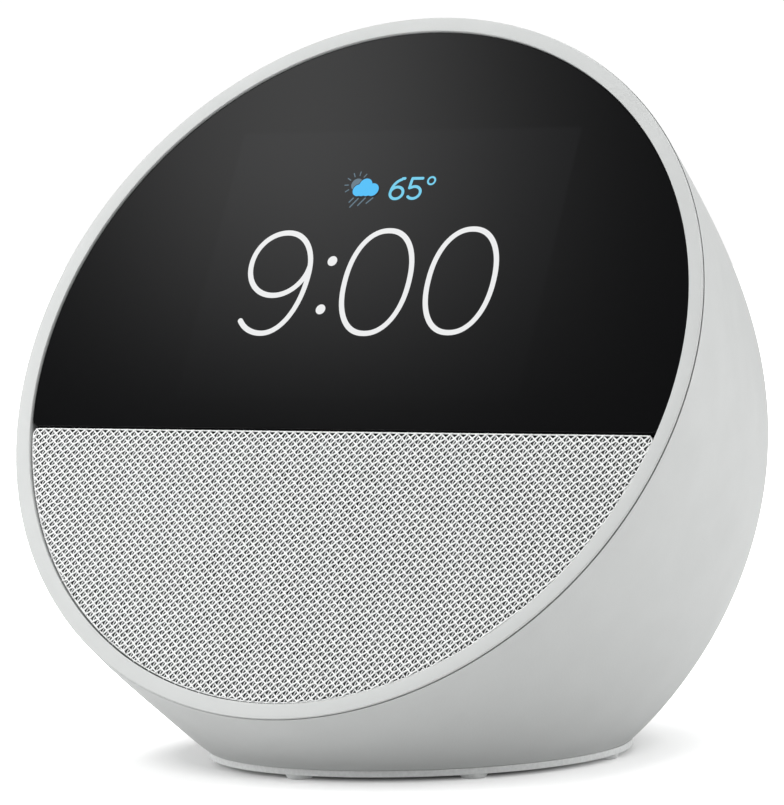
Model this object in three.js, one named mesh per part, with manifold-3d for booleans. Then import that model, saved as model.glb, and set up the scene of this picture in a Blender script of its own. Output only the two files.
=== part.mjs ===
// Table-top smart display: a round leaning face (glass above, knitted speaker cloth below) on a
// rounded housing that narrows to a small round foot. Millimetres, +Z up, the face looks along -Y.
// The origin is on the table, under the middle of the object's box.
import * as THREE from "three";
import { mergeVertices } from "three/addons/utils/BufferGeometryUtils.js";
import Module from "manifold-3d";

const wasm = await Module();
wasm.setup();

// ---------------------------------------------------------------- driving dimensions
const CLEAR = 0.3; // gap between neighbouring pieces
const WALL = 2.0; // housing wall

const FACE_RADIUS = 56.5; // outer edge of the bezel
const FACE_TILT = THREE.MathUtils.degToRad(29.2); // the face leans back from upright
const FACE_Y = -23.76; // centre of the face
const FACE_Z = 59.9;

const BASE_RADIUS = 30.6; // where the housing's outline meets the foot
const BASE_Y = -6.78;
const BASE_Z = 1.05;
const HOUSING_BOTTOM = 1.8;

// The housing's outline goes from the face's edge to the base circle as one curve for each
// direction a round the axis. Each row is [middle, times sin a, times sin a squared].
const LEAVE_ANGLE = [5.5, 8.2, -6]; // degrees inward, leaving the face's edge
const LEAVE_REACH = [20.2, 17.3, 4.1]; // how far the curve keeps that direction
const LAND_ANGLE = [37, 8.1, 0.6]; // degrees down, arriving at the base
const LAND_REACH = [21.4, 36.2, 24];
const AROUND = 60; // steps round the housing
const ALONG = 10; // steps from face to base, outside
const ALONG_INSIDE = 6;

const RIM_EDGE = 0.2; // rounding of the bezel's outer edge
const SEAM_DEPTH = 0.4; // the parting seam runs just behind that edge
const SEAM_GAP = 0.3;
const LIP = 0.9; // housing wall where it laps over the bezel
const LAP_DEPTH = 3.1;
const TONGUE_INSET = WALL + 0.35;
const TONGUE_DEPTH = 5.4; // bezel's locating tongue inside the housing
const LEDGE_RADIUS = 51.6; // ledge that carries the glass and the grille
const LEDGE_DEPTH = 3.0;
const WINDOW_RADIUS = 54.1; // inner edge of the bezel's front

const GLASS_RADIUS = WINDOW_RADIUS - CLEAR;
const GLASS_FRONT = -0.4;
const GLASS_THICK = 1.5;
const SPLIT = -11.05; // glass above, cloth below this height on the face
const SPLIT_GAP = 0.3;
const CLOTH_FRONT = -0.3;
const CLOTH_THICK = 1.0;
const GRILLE_THICK = 1.1;

const LCD = { width: 63, height: 50, centre: 15.2, thick: 1.2, backlight: 1.9 };

const CHASSIS_FRONT = -5.9;
const CHASSIS_THICK = 1.8;
const BOARD = { width: 65, height: 45, centre: 14.5, front: -13.5, thick: 1.2, hole: 1.15 };
const BOARD_SCREWS = [[-29, -4], [29, -4], [29, 33], [-29, 33]];

const DRIVER_V = -31.5; // speaker's centre on the face
const DRIVER = { flange: 20, screwCircle: 18.3, screwHole: 0.95, opening: 16.8, front: -4.6 };

const FLEX_X = 15; // screen's ribbon, sideways on the face

const BUTTON_STEP = 16; // spacing of the three top buttons
const BUTTON_ALONG = 0.27; // where they sit on the rear outline
const BUTTON = { radius: 4.4, skirt: 5.5, proud: 0.7, bottom: -8, hole: 4.75 };
const SWITCH = { top: -9.3, height: 3.5, side: 6 };

const JACK_Z = 26;
const JACK_POCKET = { radius: 6, floor: 34, collar: 7.6, nose: 3.9 };

const FOOT = { outer: 30.3, inner: 21, under: 0.5, top: 1.5, edge: 0.3 };
const PAD = { count: 7, first: -6.2, circle: 28.3, upper: 1.9, lower: 1.5, tall: 0.8 };
const BOSS = { radius: 2.8, tall: 10, bore: 1.35, depth: 9 }; // posts the base screws go into
const BASE_PLATE = { radius: 26.8, under: 1.8, top: 4.6 };
const BASE_SCREW_CIRCLE = 23.6;
const BASE_SCREW_ANGLES = [-15, 60, 120, 195];

// ---------------------------------------------------------------- finishes
const FINISH = {
  shell: finish(0xdcdee1, 0.45, 0),
  glass: finish(0x0a0b0d, 0.06, 0),
  cloth: finish(0xd2d3d6, 0.95, 0),
  dark: finish(0x2a2b2d, 0.6, 0),
  rubber: finish(0xc4c6c9, 0.8, 0),
  soft: finish(0x1c1d1f, 0.85, 0),
  paper: finish(0x35363a, 0.9, 0),
  steel: finish(0xa9abaf, 0.35, 1),
  magnet: finish(0x3c3d40, 0.6, 0.3),
  copper: finish(0xb5703a, 0.35, 1),
  alloy: finish(0xc3c6ca, 0.4, 1),
  board: finish(0x1f5a3a, 0.55, 0),
  flex: finish(0xc47a2a, 0.5, 0),
};

function finish(color, roughness, metalness) {
  return new THREE.MeshStandardMaterial({ color, roughness, metalness });
}

// ---------------------------------------------------------------- solids from geometry
// A closed geometry as a solid, whichever way its faces were wound.
function solid(geometry) {
  const bare = geometry.index ? geometry.toNonIndexed() : geometry.clone();
  bare.deleteAttribute("normal");
  bare.deleteAttribute("uv");
  const merged = mergeVertices(bare, 1e-4);
  const corners = merged.index.array;
  const kept = [];
  for (let i = 0; i < corners.length; i += 3) {
    const [a, b, c] = corners.slice(i, i + 3);
    if (a !== b && b !== c && c !== a) kept.push(a, b, c);
  }
  const made = manifoldOf(merged.attributes.position.array, kept);
  return made.volume() > 0 ? made : manifoldOf(merged.attributes.position.array, kept.reverse());
}

function manifoldOf(vertProperties, triangles) {
  const triVerts = new Uint32Array(triangles);
  return new wasm.Manifold(new wasm.Mesh({ numProp: 3, vertProperties, triVerts }));
}

function geometryOf(made) {
  const mesh = made.getMesh();
  const geometry = new THREE.BufferGeometry();
  geometry.setAttribute("position", new THREE.BufferAttribute(mesh.vertProperties, 3));
  geometry.setIndex(new THREE.BufferAttribute(mesh.triVerts, 1));
  geometry.computeVertexNormals();
  return geometry;
}

function add(parent, name, made, material) {
  const mesh = new THREE.Mesh(geometryOf(made), FINISH[material]);
  mesh.name = name;
  parent.add(mesh);
}

// Upright cylinder about Z through (x, y).
function post(radius, low, high, x = 0, y = 0, sides = 24) {
  const geometry = new THREE.CylinderGeometry(radius, radius, high - low, sides);
  return solid(geometry.rotateX(Math.PI / 2).translate(x, y, (low + high) / 2));
}

function block(width, depth, low, high, x = 0, y = 0) {
  return solid(new THREE.BoxGeometry(width, depth, high - low).translate(x, y, (low + high) / 2));
}

// Closed profile of [radius, height] pairs turned about Z.
function turned(profile, sides = 20) {
  const points = profile.map(([r, z]) => new THREE.Vector2(r, z));
  points.push(points[0].clone());
  return solid(new THREE.LatheGeometry(points, sides).rotateX(Math.PI / 2));
}

function plate(shape, low, high, segments = 24) {
  const options = { depth: high - low, bevelEnabled: false, curveSegments: segments };
  return solid(new THREE.ExtrudeGeometry(shape, options).translate(0, 0, low));
}

// Loops of points, joined one to the next and the last back to the first: a closed ring.
function ringSolid(loops) {
  const count = loops[0].length;
  const positions = loops.flat().flatMap((p) => p.toArray());
  const index = [];
  for (let j = 0; j < loops.length; j++) {
    const here = j * count;
    const next = ((j + 1) % loops.length) * count;
    for (let i = 0; i < count; i++) {
      const k = (i + 1) % count;
      index.push(here + i, here + k, next + k, here + i, next + k, next + i);
    }
  }
  return solid(indexed(positions, index));
}

// Loops of points joined in order, with a flat fan over the first and the last.
function plugSolid(loops) {
  const count = loops[0].length;
  const positions = loops.flat().flatMap((p) => p.toArray());
  const index = [];
  for (let j = 0; j + 1 < loops.length; j++) {
    const here = j * count;
    const next = here + count;
    for (let i = 0; i < count; i++) {
      const k = (i + 1) % count;
      index.push(here + i, here + k, next + k, here + i, next + k, next + i);
    }
  }
  const fan = (loop, first, turned) => {
    const middle = loop.reduce((sum, p) => sum.add(p), new THREE.Vector3()).divideScalar(count);
    const centre = positions.length / 3;
    positions.push(...middle.toArray());
    for (let i = 0; i < count; i++) {
      const corners = [first + i, first + ((i + 1) % count)];
      index.push(centre, ...(turned ? corners : corners.reverse()));
    }
  };
  fan(loops[0], 0, false);
  fan(loops.at(-1), (loops.length - 1) * count, true);
  return solid(indexed(positions, index));
}

function indexed(positions, index) {
  const geometry = new THREE.BufferGeometry();
  geometry.setAttribute("position", new THREE.Float32BufferAttribute(positions, 3));
  geometry.setIndex(index);
  return geometry;
}

// ---------------------------------------------------------------- the housing's outer surface
const faceNormal = new THREE.Vector3(0, -Math.cos(FACE_TILT), Math.sin(FACE_TILT));
const faceUp = new THREE.Vector3(0, Math.sin(FACE_TILT), Math.cos(FACE_TILT));
const faceCentre = new THREE.Vector3(0, FACE_Y, FACE_Z);

function across(a) {
  return faceUp.clone().multiplyScalar(Math.sin(a)).add(new THREE.Vector3(Math.cos(a), 0, 0));
}

function graded([middle, once, twice], a) {
  return middle + once * Math.sin(a) + twice * Math.sin(a) ** 2;
}

// The outline in direction a: 0 is the object's right, a quarter turn is its back.
function outline(a) {
  const out = across(a);
  const start = faceCentre.clone().addScaledVector(out, FACE_RADIUS);
  const leave = THREE.MathUtils.degToRad(graded(LEAVE_ANGLE, a));
  const away = faceNormal.clone().multiplyScalar(-Math.cos(leave));
  away.addScaledVector(out, -Math.sin(leave));
  const flat = new THREE.Vector3(Math.cos(a), Math.sin(a), 0);
  const end = new THREE.Vector3(0, BASE_Y, BASE_Z).addScaledVector(flat, BASE_RADIUS);
  const land = THREE.MathUtils.degToRad(graded(LAND_ANGLE, a));
  const arrive = flat.multiplyScalar(-Math.cos(land)).setZ(-Math.sin(land));
  const first = start.clone().addScaledVector(away, graded(LEAVE_REACH, a));
  const second = end.clone().addScaledVector(arrive, -graded(LAND_REACH, a));
  return new THREE.CubicBezierCurve3(start, first, second, end);
}

function outwardAt(a, t) {
  const step = 0.001;
  const round = outline(a + step).getPoint(t).sub(outline(a - step).getPoint(t));
  return outline(a).getTangent(t).cross(round).normalize();
}

function surfacePoint(a, t, inset) {
  return outline(a).getPoint(t).addScaledVector(outwardAt(a, t), -inset);
}

// The place on the outline where measure(point) reaches a value, by halving.
function placeWhere(a, inset, measure, value) {
  let low = 0;
  let high = 1;
  for (let i = 0; i < 30; i++) {
    const middle = (low + high) / 2;
    if (measure(surfacePoint(a, middle, inset)) < value) low = middle;
    else high = middle;
  }
  return low;
}

const depthBehindFace = (p) => faceCentre.clone().sub(p).dot(faceNormal);
const dropBelow = (p) => -p.z;

function surfaceAtDepth(a, inset, depth) {
  return surfacePoint(a, placeWhere(a, inset, depthBehindFace, depth), inset);
}

function directions(count) {
  return Array.from({ length: count }, (_, i) => (2 * Math.PI * i) / count);
}

// Loops of surface points from a depth behind the face down to a height above the table.
function surfaceLoops(inset, depth, height, around, along) {
  const angles = directions(around);
  const spans = angles.map((a) => [
    placeWhere(a, inset, depthBehindFace, depth),
    placeWhere(a, inset, dropBelow, -height),
  ]);
  return Array.from({ length: along + 1 }, (_, j) =>
    angles.map((a, i) => {
      const t = THREE.MathUtils.lerp(spans[i][0], spans[i][1], j / along);
      return surfacePoint(a, t, inset);
    }),
  );
}

// Everything inside the outer surface, inset by a distance (a negative one stands proud).
function inside(inset, frameOf = new THREE.Matrix4(), around = 48, along = 10) {
  const loops = surfaceLoops(inset, 0.05, HOUSING_BOTTOM + 0.2, around, along);
  const back = frameOf.clone().invert();
  return plugSolid(loops.map((loop) => loop.map((p) => p.applyMatrix4(back))));
}

// ---------------------------------------------------------------- groups
const display = new THREE.Group();

const face = new THREE.Group(); // X right, Y up the face, Z out of the face
face.position.copy(faceCentre);
face.rotation.x = Math.PI / 2 - FACE_TILT;

const driver = new THREE.Group();
driver.position.y = DRIVER_V;
face.add(driver);

const buttons = new THREE.Group(); // Z out of the housing at the middle button
const buttonPlace = surfacePoint(Math.PI / 2, BUTTON_ALONG, 0);
const buttonAxis = outwardAt(Math.PI / 2, BUTTON_ALONG);
buttons.position.copy(buttonPlace);
buttons.rotation.x = Math.atan2(-buttonAxis.y, buttonAxis.z);

const jack = new THREE.Group(); // Z out of the back
jack.position.z = JACK_Z;
jack.rotation.x = -Math.PI / 2;

display.add(face, buttons, jack);
display.updateMatrixWorld(true);

// ---------------------------------------------------------------- bezel, glass, cloth, grille
function ringPoint(a, radius, depth) {
  const p = faceCentre.clone().addScaledVector(across(a), radius);
  return p.addScaledVector(faceNormal, -depth);
}

function bezelRing() {
  const corners = [
    (a) => ringPoint(a, FACE_RADIUS - RIM_EDGE, 0),
    (a) => surfaceAtDepth(a, 0, RIM_EDGE),
    (a) => surfaceAtDepth(a, 0, SEAM_DEPTH),
    (a) => surfaceAtDepth(a, LIP + CLEAR, SEAM_DEPTH),
    (a) => surfaceAtDepth(a, LIP + CLEAR, LAP_DEPTH),
    (a) => surfaceAtDepth(a, TONGUE_INSET, LAP_DEPTH),
    (a) => surfaceAtDepth(a, TONGUE_INSET, TONGUE_DEPTH),
    (a) => ringPoint(a, LEDGE_RADIUS, TONGUE_DEPTH),
    (a) => ringPoint(a, LEDGE_RADIUS, LEDGE_DEPTH),
    (a) => ringPoint(a, WINDOW_RADIUS, LEDGE_DEPTH),
    (a) => ringPoint(a, WINDOW_RADIUS, RIM_EDGE),
    (a) => ringPoint(a, WINDOW_RADIUS + RIM_EDGE, 0),
  ];
  return ringSolid(corners.map((corner) => directions(AROUND).map(corner)));
}

// The part of a disc above (side 1) or below (side -1) a straight line across the face.
function discSegment(radius, line, side) {
  const start = Math.asin(line / radius);
  const shape = new THREE.Shape();
  if (side > 0) shape.absarc(0, 0, radius, start, Math.PI - start, false);
  else shape.absarc(0, 0, radius, Math.PI - start, 2 * Math.PI + start, false);
  shape.closePath();
  return shape;
}

function glassGasket() {
  const shape = discSegment(GLASS_RADIUS - 0.2, SPLIT + 0.3, 1);
  shape.holes.push(discSegment(LEDGE_RADIUS + 0.4, SPLIT + 1.2, 1));
  return plate(shape, -2.7, -2.2, 30);
}

// Hexagonal field of holes in front of the speaker cone.
function speakerGrille() {
  const shape = discSegment(GLASS_RADIUS, SPLIT - SPLIT_GAP, -1);
  const pitch = 5.2;
  const rowHeight = pitch * Math.sin(Math.PI / 3);
  for (let row = -3; row <= 3; row++) {
    for (let column = -4; column <= 4; column++) {
      const x = (column + (row % 2 ? 0.5 : 0)) * pitch;
      const y = row * rowHeight;
      if (Math.hypot(x, y) > DRIVER.opening) continue;
      const hole = new THREE.Path();
      const middle = new THREE.Vector2(x, y + DRIVER_V);
      const corner = (a) => new THREE.Vector2(1.6, 0).rotateAround(new THREE.Vector2(), a).add(middle);
      shape.holes.push(hole.setFromPoints(directions(6).map(corner)));
    }
  }
  const front = CLOTH_FRONT - CLOTH_THICK - CLEAR;
  return plate(shape, front - GRILLE_THICK, front, 30);
}

function roundedPlate(width, height, corner, low, high, y) {
  const [w, h] = [width / 2 - corner, height / 2 - corner];
  const shape = new THREE.Shape();
  shape.absarc(w, y + h, corner, 0, Math.PI / 2, false);
  shape.absarc(-w, y + h, corner, Math.PI / 2, Math.PI, false);
  shape.absarc(-w, y - h, corner, Math.PI, 1.5 * Math.PI, false);
  shape.absarc(w, y - h, corner, 1.5 * Math.PI, 2 * Math.PI, false);
  shape.closePath();
  return plate(shape, low, high, 3);
}

add(display, "bezel_ring", bezelRing(), "shell");
const glassShape = discSegment(GLASS_RADIUS, SPLIT, 1);
add(face, "cover_glass", plate(glassShape, GLASS_FRONT - GLASS_THICK, GLASS_FRONT, 40), "glass");
add(face, "glass_gasket", glassGasket(), "soft");
const clothShape = discSegment(GLASS_RADIUS, SPLIT - SPLIT_GAP, -1);
add(face, "grille_fabric", plate(clothShape, CLOTH_FRONT - CLOTH_THICK, CLOTH_FRONT, 30), "cloth");
add(face, "speaker_grille", speakerGrille(), "dark");

// ---------------------------------------------------------------- screen and its chassis
const lcdFront = GLASS_FRONT - GLASS_THICK - CLEAR;
const lcdBack = lcdFront - LCD.thick;
add(face, "lcd_panel", roundedPlate(LCD.width, LCD.height, 1, lcdBack, lcdFront, LCD.centre), "glass");
const lightFront = lcdBack - CLEAR;
const lightBack = lightFront - LCD.backlight;
const backlight = roundedPlate(LCD.width, LCD.height, 1.5, lightBack, lightFront, LCD.centre);
add(face, "lcd_backlight", backlight, "steel");

const chassisBack = CHASSIS_FRONT - CHASSIS_THICK;

function displayChassis() {
  let made = post(LEDGE_RADIUS - 0.6, chassisBack, CHASSIS_FRONT, 0, 0, 60);
  made = made.intersect(inside(WALL + 0.6, face.matrixWorld));
  for (const [x, y] of BOARD_SCREWS) {
    made = made.add(post(2.6, BOARD.front + CLEAR, chassisBack + 0.2, x, y, 14));
  }
  made = made.subtract(post(DRIVER.opening, -20, 0, 0, DRIVER_V, 36));
  made = made.subtract(block(11, 1.6, -20, 0, FLEX_X, -11.2));
  for (const [x, y] of BOARD_SCREWS) {
    made = made.subtract(post(BOARD.hole, BOARD.front - 1, chassisBack - 0.3, x, y, 10));
  }
  for (const [x, y] of screwCircle(DRIVER.screwCircle)) {
    made = made.subtract(post(DRIVER.screwHole, -20, 0, x, y + DRIVER_V, 8));
  }
  return made;
}

function screwCircle(radius) {
  return directions(4).map((a) => [radius * Math.cos(a + Math.PI / 4), radius * Math.sin(a + Math.PI / 4)]);
}

add(face, "display_chassis", displayChassis(), "dark");

// Pan-head screw pointing along -Z (or +Z when the length is negative), head on top of z.
function screw(head, shank, length, x, y, z) {
  const way = Math.sign(length);
  const tall = head * 0.65 * way;
  const profile = [
    [0, z + tall],
    [head * 0.7, z + tall],
    [head, z + tall * 0.5],
    [head, z],
    [shank, z],
    [shank, z - length],
    [0, z - length - shank * 0.6 * way],
  ];
  return solid(geometryOf(turned(profile, 10)).translate(x, y, 0));
}

function mainBoard() {
  const back = BOARD.front - BOARD.thick;
  let made = roundedPlate(BOARD.width, BOARD.height, 2, back, BOARD.front, BOARD.centre);
  const components = [
    [8, 5, 2.2, 24, 26],
    [5, 5, 2.8, 24, 12],
    [12, 3.2, 2, FLEX_X, -4],
    [6, 3, 1.6, -24, -4],
    [4, 8, 1.8, -27, 14],
    [9, 4, 1.8, 0, 34],
  ];
  for (const [width, depth, tall, x, y] of components) {
    made = made.add(block(width, depth, back - tall, back + 0.2, x, y));
  }
  for (const [x, y] of BOARD_SCREWS) {
    made = made.subtract(post(BOARD.hole, -20, 0, x, y, 10));
  }
  return made;
}

const boardBack = BOARD.front - BOARD.thick;
add(face, "main_board", mainBoard(), "board");
BOARD_SCREWS.forEach(([x, y], i) => {
  add(face, `board_screw_${i + 1}`, screw(1.9, 0.8, -5.4, x, y, boardBack - CLEAR), "steel");
});
const shieldLow = boardBack - CLEAR - 2.2;
add(face, "shield_can", block(30, 22, shieldLow, boardBack - CLEAR, -6, 15), "alloy");
add(face, "heat_spreader", block(34, 28, shieldLow - CLEAR - 1.2, shieldLow - CLEAR, -6, 15), "alloy");
add(face, "wifi_antenna", block(26, 6, chassisBack - 0.8, chassisBack - CLEAR, 0, 45), "flex");

// Thin strip that follows a path of [height, depth] points in the plane across the face.
function strip(path, thick, x, width) {
  const half = thick / 2;
  const side = (sign) =>
    path.map(([v, z], i) => {
      const before = path[Math.max(i - 1, 0)];
      const after = path[Math.min(i + 1, path.length - 1)];
      const along = new THREE.Vector2(after[0] - before[0], after[1] - before[1]).normalize();
      return new THREE.Vector2(v - along.y * half * sign, z + along.x * half * sign);
    });
  const shape = new THREE.Shape([...side(1), ...side(-1).reverse()]);
  const geometry = new THREE.ExtrudeGeometry(shape, { depth: width, bevelEnabled: false });
  geometry.rotateX(Math.PI / 2).rotateZ(Math.PI / 2).translate(x - width / 2, 0, 0);
  return solid(geometry);
}

const flexPath = [[-10.3, -4.4], [-11.1, -5.2], [-11.2, -11.2], [-10.4, -12.5], [-8.5, -13], [-4.5, -13]];
add(face, "lcd_flex", strip(flexPath, 0.25, FLEX_X, 9), "flex");

// ---------------------------------------------------------------- speaker
function speakerBasket() {
  const f = DRIVER.front;
  let made = turned([
    [14.9, f], [DRIVER.flange, f], [DRIVER.flange, f - 1], [16.2, f - 1],
    [12.9, f - 8], [12.9, f - 9], [6.9, f - 9], [6.9, f - 8.2], [12.0, f - 8.2],
  ], 24);
  for (const a of directions(4)) {
    const window = new THREE.BoxGeometry(12, 12, 4.4).translate(15, 0, f - 5).rotateZ(a);
    made = made.subtract(solid(window));
  }
  for (const [x, y] of screwCircle(DRIVER.screwCircle)) {
    made = made.subtract(post(DRIVER.screwHole, -10, 0, x, y, 8));
  }
  return made;
}

// Half-round roll between the cone and the basket.
function speakerSurround() {
  const middle = 15.1;
  const arc = (radius, from, to) =>
    [0, 1, 2, 3].map((i) => {
      const a = THREE.MathUtils.lerp(from, to, i / 3);
      return [middle + radius * Math.cos(a), DRIVER.front + CLEAR + radius * Math.sin(a)];
    });
  return turned([...arc(1.2, 0, Math.PI), ...arc(0.85, Math.PI, 0)], 24);
}

add(driver, "speaker_basket", speakerBasket(), "dark");
add(driver, "speaker_surround", speakerSurround(), "soft");
add(driver, "speaker_cone", turned([[13.6, -4.3], [13.6, -4.9], [5.8, -9.5], [5.8, -8.9]]), "paper");
const capTop = [[0, -6.6], [2.2, -6.8], [4.2, -7.4], [6, -8.4]];
const capUnder = [[5.4, -8.6], [3.8, -7.9], [2, -7.3], [0, -7.1]];
add(driver, "dust_cap", turned([...capTop, ...capUnder]), "soft");
add(driver, "voice_coil", turned([[5, -9], [5.5, -9], [5.5, -17], [5, -17]]), "copper");
const waves = [5.9, 7.2, 8.5, 9.8, 11.1, 11.7];
const spiderTop = waves.map((r, i) => [r, -10.8 + (i % 2 ? 0.35 : 0)]);
const spiderUnder = waves.map((r, i) => [r, -11.15 + (i % 2 ? 0.35 : 0)]).reverse();
add(driver, "speaker_spider", turned([...spiderTop, ...spiderUnder]), "flex");
add(driver, "magnet_top_plate", turned([[6.1, -13.9], [11.5, -13.9], [11.5, -15.4], [6.1, -15.4]]), "steel");
add(driver, "speaker_magnet", turned([[7.5, -15.7], [12.5, -15.7], [12.5, -19.7], [7.5, -19.7]]), "magnet");
const yoke = [[0, -13.9], [4.6, -13.9], [4.6, -20], [11.5, -20], [11.5, -21.8], [0, -21.8]];
add(driver, "magnet_yoke", turned(yoke), "steel");
screwCircle(DRIVER.screwCircle).forEach(([x, y], i) => {
  add(driver, `speaker_screw_${i + 1}`, screw(1.4, 0.6, 2.9, x, y, DRIVER.front + CLEAR), "steel");
});

// Moulded enclosure behind the speaker, shaped by the housing round it and open at the speaker.
function speakerBox() {
  const floor = 6;
  const thick = 1.6;
  const back = -27;
  const room = (shrink) => {
    const side = 38 - 2 * shrink;
    const tank = block(side, side, back + shrink, chassisBack - CLEAR - shrink, 0, DRIVER_V);
    const ground = new THREE.BoxGeometry(200, 200, 200).translate(0, 0, 100 + floor + shrink);
    ground.applyMatrix4(face.matrixWorld.clone().invert());
    return tank.intersect(inside(WALL + 0.8 + shrink, face.matrixWorld, 36, 8)).intersect(solid(ground));
  };
  const hollow = room(0).subtract(room(thick));
  const leadHole = solid(new THREE.CylinderGeometry(1.4, 1.4, 6, 10).translate(10, -13, -14));
  return hollow.subtract(post(DRIVER.opening, -12, 0, 0, DRIVER_V, 36)).subtract(leadHole);
}

add(face, "speaker_box", speakerBox(), "dark");

// ---------------------------------------------------------------- rear housing
function shellBlank() {
  const front = SEAM_DEPTH + SEAM_GAP;
  const step = LAP_DEPTH + CLEAR;
  const outer = surfaceLoops(0, front, HOUSING_BOTTOM, AROUND, ALONG);
  const inner = surfaceLoops(WALL, step, HOUSING_BOTTOM, AROUND, ALONG_INSIDE);
  const lip = [front, step].map((depth) => directions(AROUND).map((a) => surfaceAtDepth(a, LIP, depth)));
  return ringSolid([...outer, ...inner.reverse(), lip[1], lip[0]]);
}

function baseScrewPlace(degrees) {
  const a = THREE.MathUtils.degToRad(degrees);
  return [BASE_SCREW_CIRCLE * Math.cos(a), BASE_Y + BASE_SCREW_CIRCLE * Math.sin(a)];
}

// Screw boss beside the base plate, tied to the wall by a rib.
function baseBoss(degrees) {
  const [x, y] = baseScrewPlace(degrees);
  const low = BASE_PLATE.top + CLEAR;
  const rib = new THREE.BoxGeometry(26, 2, BOSS.tall);
  rib.translate(BASE_SCREW_CIRCLE + 13, 0, low + BOSS.tall / 2);
  rib.rotateZ(THREE.MathUtils.degToRad(degrees)).translate(0, BASE_Y, 0);
  return post(BOSS.radius, low, low + BOSS.tall, x, y, 12).add(solid(rib));
}

function rearHousing() {
  const onButtons = (made) => solid(geometryOf(made).applyMatrix4(buttons.matrixWorld));
  const onJack = (made) => solid(geometryOf(made).applyMatrix4(jack.matrixWorld));
  const core = inside(1, new THREE.Matrix4(), 30, 6);
  let made = shellBlank();
  for (const degrees of BASE_SCREW_ANGLES) made = made.add(baseBoss(degrees).intersect(core));
  for (const x of [-BUTTON_STEP / 2, BUTTON_STEP / 2]) {
    made = made.add(onButtons(post(2.2, SWITCH.top - SWITCH.height, 2, x, 0, 12)).intersect(core));
  }
  const collar = onJack(post(JACK_POCKET.collar, JACK_POCKET.floor - 1.5, 60)).intersect(core);
  made = made.add(collar);
  made = made.subtract(onJack(post(JACK_POCKET.radius, JACK_POCKET.floor, 60)));
  made = made.subtract(onJack(post(JACK_POCKET.nose + CLEAR, JACK_POCKET.floor - 5, 60)));
  for (const x of [-BUTTON_STEP, 0, BUTTON_STEP]) {
    made = made.subtract(onButtons(post(BUTTON.hole, BUTTON.bottom, 10, x)));
  }
  for (const x of [-BUTTON_STEP / 2, BUTTON_STEP / 2]) {
    made = made.subtract(onButtons(post(1.1, -20, -6, x, 0, 10)));
    made = made.subtract(onButtons(post(0.7, -12, 10, x, -6.5, 8)));
  }
  for (const degrees of BASE_SCREW_ANGLES) {
    const [x, y] = baseScrewPlace(degrees);
    made = made.subtract(post(BOSS.bore, 0, BASE_PLATE.top + CLEAR + BOSS.depth, x, y, 10));
  }
  return made;
}

add(display, "rear_housing", rearHousing(), "shell");

// ---------------------------------------------------------------- top buttons
const proudSurface = inside(-BUTTON.proud, buttons.matrixWorld);
const underWall = inside(WALL + 1, buttons.matrixWorld);
const boardTop = SWITCH.top - SWITCH.height - CLEAR;

function buttonCap(x) {
  const cap = post(BUTTON.radius, BUTTON.bottom, 10, x).intersect(proudSurface);
  const skirt = post(BUTTON.skirt, BUTTON.bottom, 10, x).intersect(underWall);
  return cap.add(skirt);
}

function tactSwitch(x) {
  const made = block(SWITCH.side, SWITCH.side, SWITCH.top - SWITCH.height, SWITCH.top, x);
  return made.subtract(post(1.6, SWITCH.top - 2.2, 0, x, 0, 16));
}

["volume_down", "mute", "volume_up"].forEach((name, i) => {
  const x = (i - 1) * BUTTON_STEP;
  const plungerTop = BUTTON.bottom - CLEAR;
  add(buttons, `${name}_button`, buttonCap(x), "shell");
  add(buttons, `${name}_plunger`, post(1.2, plungerTop - 1.9, plungerTop, x, 0, 16), "dark");
  add(buttons, `${name}_switch`, tactSwitch(x), "steel");
});

function buttonBoard() {
  let made = block(44, 18, boardTop - 1, boardTop, 0, -2.5);
  for (const x of [-BUTTON_STEP / 2, BUTTON_STEP / 2]) {
    made = made.subtract(post(1.1, -20, 0, x, 0, 10));
  }
  return made;
}

add(buttons, "button_board", buttonBoard(), "board");
[-1, 1].forEach((side, i) => {
  const x = (side * BUTTON_STEP) / 2;
  const under = boardTop - 1 - CLEAR;
  add(buttons, `button_board_screw_${i + 1}`, screw(1.9, 0.7, -6, x, 0, under), "steel");
  const name = side < 0 ? "microphone_left" : "microphone_right";
  add(buttons, name, block(3.8, 3, boardTop + CLEAR, boardTop + 1.4, x, -7.5), "alloy");
});

// ---------------------------------------------------------------- power inlet
function jackBody() {
  const behind = JACK_POCKET.floor - 1.5 - CLEAR;
  const body = block(9, 11, behind - 13, behind).add(post(JACK_POCKET.nose, behind - 1, JACK_POCKET.floor));
  return body.subtract(post(2.9, behind - 9, 60));
}

const jackBehind = JACK_POCKET.floor - 1.5 - CLEAR;
const pinBase = jackBehind - 9 + CLEAR;
const pinTip = JACK_POCKET.floor - 0.7;
add(jack, "dc_jack", jackBody(), "dark");
const pin = [[0, pinBase], [1, pinBase], [1, pinTip - 0.8], [0.6, pinTip], [0, pinTip]];
add(jack, "dc_jack_pin", turned(pin, 16), "steel");
const jackBoard = new THREE.BoxGeometry(16, 1.2, 15).translate(0, 5.5 + CLEAR + 0.6, jackBehind - 8);
add(jack, "jack_board", solid(jackBoard), "board");

// ---------------------------------------------------------------- base
function footRing() {
  const { outer, inner, under, top, edge } = FOOT;
  let made = turned([
    [inner, under], [outer - edge, under], [outer, under + edge],
    [outer, top - edge], [outer - edge, top], [inner, top],
  ], 48);
  for (const turn of directions(PAD.count)) {
    const a = THREE.MathUtils.degToRad(PAD.first) + turn;
    const pad = new THREE.CylinderGeometry(PAD.upper, PAD.lower, PAD.tall, 10).rotateX(Math.PI / 2);
    pad.translate(PAD.circle * Math.sin(a), -PAD.circle * Math.cos(a), PAD.tall / 2);
    made = made.add(solid(pad));
  }
  return solid(geometryOf(made).translate(0, BASE_Y, 0));
}

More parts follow.
